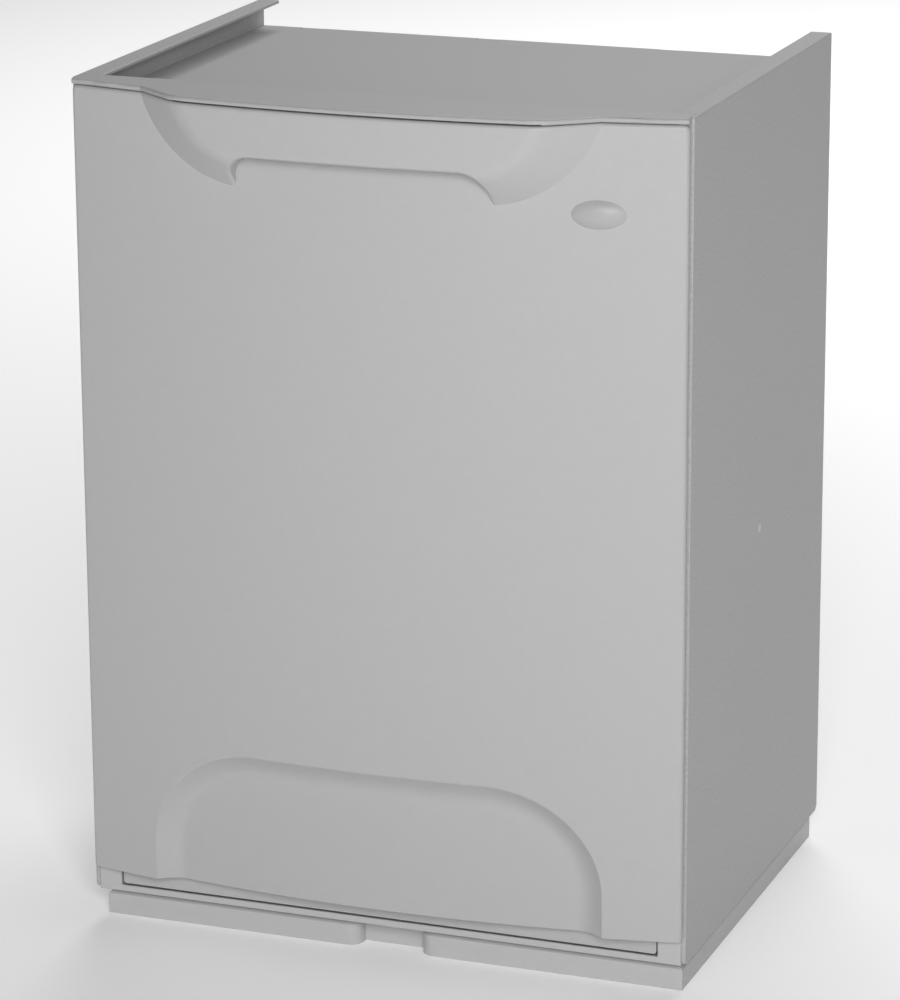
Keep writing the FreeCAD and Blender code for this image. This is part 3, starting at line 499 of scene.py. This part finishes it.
def add_boss(bm, x, z):
    """Round boss from inside the face's wall to the door frame."""
    front = face_y(x) + MOULD_DEPTH
    length = BOSS_REAR_Y - front
    place = Matrix.Translation((x, front + length / 2, z)) @ Matrix.Rotation(math.pi / 2, 4, "X")
    bmesh.ops.create_cone(
        bm,
        cap_ends=True,
        segments=BOSS_SEGMENTS,
        radius1=BOSS_R,
        radius2=BOSS_R,
        depth=length,
        matrix=place,
    )


def make_door(material):
    """The door's face as one piece, in place of the plain CAD mesh."""
    bm = bmesh.new()
    add_face_sheet(bm)
    thicken(bm, face_back)
    shell = bmesh.new()
    add_cup_shell(shell)
    thicken(shell, cup_back)
    merge_into(bm, shell)
    add_cup_roof(bm)
    for side in (-1, 1):
        add_pocket_wall(bm, side)
    add_inner_details(bm)
    door = new_piece("door_skin", bm, "door", material)
    sharpen(door, CRISP_ANGLE)
    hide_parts("door_face")


def sharpen(piece, degrees):
    """Shade smooth, but leave edges sharper than an angle crisp."""
    bm = bmesh.new()
    bm.from_mesh(piece.data)
    for edge in bm.edges:
        if len(edge.link_faces) == 2 and edge.calc_face_angle() > math.radians(degrees):
            edge.smooth = False
    bm.to_mesh(piece.data)
    bm.free()


# ---- Badge ----

def make_badge(material):
    """Plain domed oval cap with a soft rim."""
    low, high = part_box("oval_badge")
    centre_x = (low.x + high.x) / 2 / MM
    centre_z = (low.z + high.z) / 2 / MM
    half_tall = (high.z - low.z) / 2 / MM
    bm = bmesh.new()
    rows = []
    for share in [*BADGE_EDGE_SHARES, *spaced(BADGE_DOME_START, BADGE_DOME_END, BADGE_DOME_ROWS)]:
        height = BADGE_PROUD * (1 - share ** BADGE_CROWN)
        row = []
        for step in range(BADGE_STEPS + 1):
            angle = 2 * math.pi * step / BADGE_STEPS
            x = centre_x + BADGE_HALF_LONG * share * math.cos(angle)
            z = centre_z + half_tall * share * math.sin(angle)
            row.append((x, face_y(x) - height, z))
        rows.append(row)
    rows.insert(0, [(x, y + BADGE_TUCK, z) for x, y, z in rows[0]])
    rows.append([(centre_x, face_y(centre_x) - BADGE_PROUD, centre_z)] * (BADGE_STEPS + 1))
    add_grid(bm, rows)
    bmesh.ops.remove_doubles(bm, verts=bm.verts, dist=SAME_PLACE)
    bmesh.ops.holes_fill(bm, edges=[edge for edge in bm.edges if edge.is_boundary])
    badge = new_piece("badge_cap", bm, "door", material)
    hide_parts("oval_badge")


# ---- Materials ----

PLASTIC_IOR = 1.49
PLASTIC_SPECULAR = 0.45
GLOSS_SPREAD = 0.05                     # how far the roughness strays either way
GRAIN_DEPTH = 0.00025                   # in metres
FAINT_MOTTLING = (0.035, 260.0)         # how far the grey strays, and the noise's scale
STRONG_MOTTLING = (0.36, 600.0)


def moulded_plastic(name, grey, roughness, grain_size, grain_strength, edge_mm, mottling=FAINT_MOTTLING):
    """Satin moulded plastic: fine grain, mottling of colour and gloss, softened edges."""
    stray, mottle_scale = mottling
    material = bpy.data.materials.new(name)
    material.use_nodes = True
    nodes = material.node_tree.nodes
    links = material.node_tree.links
    shader = nodes["Principled BSDF"]
    shader.inputs["IOR"].default_value = PLASTIC_IOR
    shader.inputs["Specular IOR Level"].default_value = PLASTIC_SPECULAR
    place = nodes.new("ShaderNodeTexCoord")

    mottle = nodes.new("ShaderNodeTexNoise")
    mottle.inputs["Scale"].default_value = mottle_scale
    mottle.inputs["Detail"].default_value = 5.0
    mottle.inputs["Roughness"].default_value = 0.7
    links.new(place.outputs["Object"], mottle.inputs["Vector"])
    tone = nodes.new("ShaderNodeMapRange")
    tone.inputs["To Min"].default_value = 1.0 - stray
    tone.inputs["To Max"].default_value = 1.0 + stray
    links.new(mottle.outputs["Fac"], tone.inputs["Value"])
    colour = nodes.new("ShaderNodeMix")
    colour.data_type = "RGBA"
    colour.blend_type = "MULTIPLY"
    colour.inputs["Factor"].default_value = 1.0
    colour.inputs["A"].default_value = (grey, grey, grey, 1.0)
    links.new(tone.outputs["Result"], colour.inputs["B"])
    links.new(colour.outputs["Result"], shader.inputs["Base Color"])

    gloss = nodes.new("ShaderNodeMapRange")
    gloss.inputs["To Min"].default_value = roughness - GLOSS_SPREAD
    gloss.inputs["To Max"].default_value = roughness + GLOSS_SPREAD
    links.new(mottle.outputs["Fac"], gloss.inputs["Value"])
    links.new(gloss.outputs["Result"], shader.inputs["Roughness"])

    grain = nodes.new("ShaderNodeTexNoise")
    grain.inputs["Scale"].default_value = 1.0 / (grain_size * MM)
    grain.inputs["Detail"].default_value = 3.0
    grain.inputs["Roughness"].default_value = 0.6
    links.new(place.outputs["Object"], grain.inputs["Vector"])
    bump = nodes.new("ShaderNodeBump")
    bump.inputs["Strength"].default_value = grain_strength
    bump.inputs["Distance"].default_value = GRAIN_DEPTH
    links.new(grain.outputs["Fac"], bump.inputs["Height"])
    if edge_mm:
        edge = nodes.new("ShaderNodeBevel")
        edge.samples = 6
        edge.inputs["Radius"].default_value = edge_mm * MM
        links.new(edge.outputs["Normal"], bump.inputs["Normal"])
    links.new(bump.outputs["Normal"], shader.inputs["Normal"])
    return material


ZINC_STREAK_SCALE = 900.0
ZINC_DARK = (0.52, 0.53, 0.55, 1.0)
ZINC_LIGHT = (0.66, 0.66, 0.66, 1.0)
ZINC_ROUGHNESS = (0.28, 0.42)


def zinc_steel():
    """Zinc-plated screws: bare metal with fine streaks of tone and gloss."""
    material = bpy.data.materials.new("zinc_plated_steel")
    material.use_nodes = True
    nodes = material.node_tree.nodes
    links = material.node_tree.links
    shader = nodes["Principled BSDF"]
    shader.inputs["Metallic"].default_value = 1.0
    place = nodes.new("ShaderNodeTexCoord")
    streak = nodes.new("ShaderNodeTexNoise")
    streak.inputs["Scale"].default_value = ZINC_STREAK_SCALE
    links.new(place.outputs["Object"], streak.inputs["Vector"])
    ramp = nodes.new("ShaderNodeValToRGB")
    ramp.color_ramp.elements[0].color = ZINC_DARK
    ramp.color_ramp.elements[1].color = ZINC_LIGHT
    links.new(streak.outputs["Fac"], ramp.inputs["Fac"])
    links.new(ramp.outputs["Color"], shader.inputs["Base Color"])
    gloss = nodes.new("ShaderNodeMapRange")
    gloss.inputs["To Min"].default_value = ZINC_ROUGHNESS[0]
    gloss.inputs["To Max"].default_value = ZINC_ROUGHNESS[1]
    links.new(streak.outputs["Fac"], gloss.inputs["Value"])
    links.new(gloss.outputs["Result"], shader.inputs["Roughness"])
    return material


def dress(material, *names):
    """Give CAD nodes a material in place of the plain one they came with."""
    for name in names:
        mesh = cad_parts[name].data
        if not mesh.materials:
            mesh.materials.append(material)
        for index in range(len(mesh.materials)):
            mesh.materials[index] = material


# Each plastic: name, grey, roughness, grain size in mm, grain strength, radius of softened edges in mm
CABINET = moulded_plastic("cabinet_grained_plastic", 0.40, 0.52, 0.8, 0.55, 0.7, STRONG_MOTTLING)
COVER = moulded_plastic("cover_satin_plastic", 0.40, 0.46, 0.9, 0.25, 0.7)
# The base's grey is set above the door's to paint in light from below on the foot: about the door's grey is
# its own, the rest is painted light.
BASE_PAINTED_LIGHTER = moulded_plastic("base_plastic_painted_lighter", 0.46, 0.46, 0.9, 0.25, 0.7)
DOOR = moulded_plastic("door_satin_plastic", 0.43, 0.44, 1.1, 0.16, 0.0)
BADGE = moulded_plastic("badge_satin_plastic", 0.39, 0.44, 1.1, 0.16, 0.0)
INNER = moulded_plastic("inner_moulded_plastic", 0.36, 0.5, 1.0, 0.2, 0.5)
BEARING = moulded_plastic("bearing_white_plastic", 0.72, 0.34, 1.2, 0.1, 0.3)
PLUG = moulded_plastic("plug_pale_plastic", 0.52, 0.4, 1.0, 0.1, 0.4)
STEEL = zinc_steel()

make_door(DOOR)
make_badge(BADGE)
dress(CABINET, "left_side_panel", "right_side_panel", "back_panel")
dress(COVER, "top_cover")
dress(BASE_PAINTED_LIGHTER, "base_tray")
dress(DOOR, "door_face", "oval_badge", "door_frame")
dress(INNER, "left_cheek", "right_cheek", "bag_ring")
dress(PLUG, "left_side_plug", "right_side_plug")
dress(BEARING, "left_hinge_bush", "right_hinge_bush", "left_hinge_pin", "right_hinge_pin")
dress(BEARING, "left_ring_pin", "right_ring_pin", "left_stop_block", "right_stop_block")
dress(STEEL, "back_screws", "base_screws", "cheek_screws", "frame_screws")


# ---- Camera, lights and surroundings ----

# Lengths here are in metres, apart from the lens and the sensor.
CAMERA_PLACE = (0.7982, -2.1378, 0.8925)
CAMERA_YAW = math.radians(20.49)        # to the right of the front
CAMERA_PITCH = math.radians(16.27)      # looking down
CAMERA_ROLL = math.radians(-0.30)
LENS_MM = 156.4
SENSOR_MM = 36.0
FAR_CLIP = 50.0

SUBJECT = (0.0, 0.0, 0.25)              # the middle of the bin, which the studio lights face
FLOOR_HALF = 6.0
FLOOR_GREY = 0.92
FLOOR_GLOW = 0.15
WORLD_STRENGTH = 0.13
WHITE = (1.0, 1.0, 1.0, 1.0)


def add_camera():
    """Camera at the front right, looking down a little through a long lens."""
    camera = bpy.data.cameras.new("camera")
    camera.lens = LENS_MM
    camera.sensor_width = SENSOR_MM
    camera.clip_end = FAR_CLIP
    holder = bpy.data.objects.new("camera", camera)
    bpy.context.scene.collection.objects.link(holder)
    level = math.cos(CAMERA_PITCH)
    back = Vector((math.sin(CAMERA_YAW) * level, -math.cos(CAMERA_YAW) * level, math.sin(CAMERA_PITCH)))
    turn = back.to_track_quat("Z", "Y").to_matrix().to_4x4()
    holder.matrix_world = Matrix.Translation(CAMERA_PLACE) @ turn @ Matrix.Rotation(CAMERA_ROLL, 4, "Z")
    bpy.context.scene.camera = holder


def add_area(name, place, aim, size, power):
    """Rectangular light of a width and height, with its power in watts."""
    light = bpy.data.lights.new(name, "AREA")
    light.shape = "RECTANGLE"
    light.size, light.size_y = size
    light.energy = power
    holder = bpy.data.objects.new(name, light)
    holder.location = place
    holder.rotation_euler = (Vector(place) - Vector(aim)).to_track_quat("Z", "Y").to_euler()
    bpy.context.scene.collection.objects.link(holder)


def add_floor():
    """Wide pale floor that the bin stands on."""
    bm = bmesh.new()
    bmesh.ops.create_grid(bm, x_segments=2, y_segments=2, size=FLOOR_HALF)
    mesh = bpy.data.meshes.new("floor")
    bm.to_mesh(mesh)
    bm.free()
    floor = bpy.data.objects.new("floor", mesh)
    bpy.context.scene.collection.objects.link(floor)
    material = bpy.data.materials.new("pale_floor")
    material.use_nodes = True
    shader = material.node_tree.nodes["Principled BSDF"]
    shader.inputs["Base Color"].default_value = (FLOOR_GREY, FLOOR_GREY, FLOOR_GREY, 1.0)
    shader.inputs["Roughness"].default_value = 0.9
    shader.inputs["Emission Color"].default_value = WHITE
    shader.inputs["Emission Strength"].default_value = FLOOR_GLOW
    mesh.materials.append(material)


def add_world():
    """Weak even light from all round."""
    world = bpy.data.worlds.new("studio")
    world.use_nodes = True
    world.node_tree.nodes["Background"].inputs["Color"].default_value = WHITE
    world.node_tree.nodes["Background"].inputs["Strength"].default_value = WORLD_STRENGTH
    bpy.context.scene.world = world


add_camera()
add_world()
add_floor()
add_area("key", place=(0.95, -2.15, 1.10), aim=SUBJECT, size=(0.7, 0.7), power=32.0)
add_area("front", place=(0.40, -2.40, 0.90), aim=SUBJECT, size=(2.4, 1.6), power=11.0)
add_area("backdrop", place=(0.0, 2.2, 2.2), aim=(0.0, 1.8, 0.0), size=(2.4, 1.6), power=60.0)
bpy.context.scene.view_settings.view_transform = "Standard"
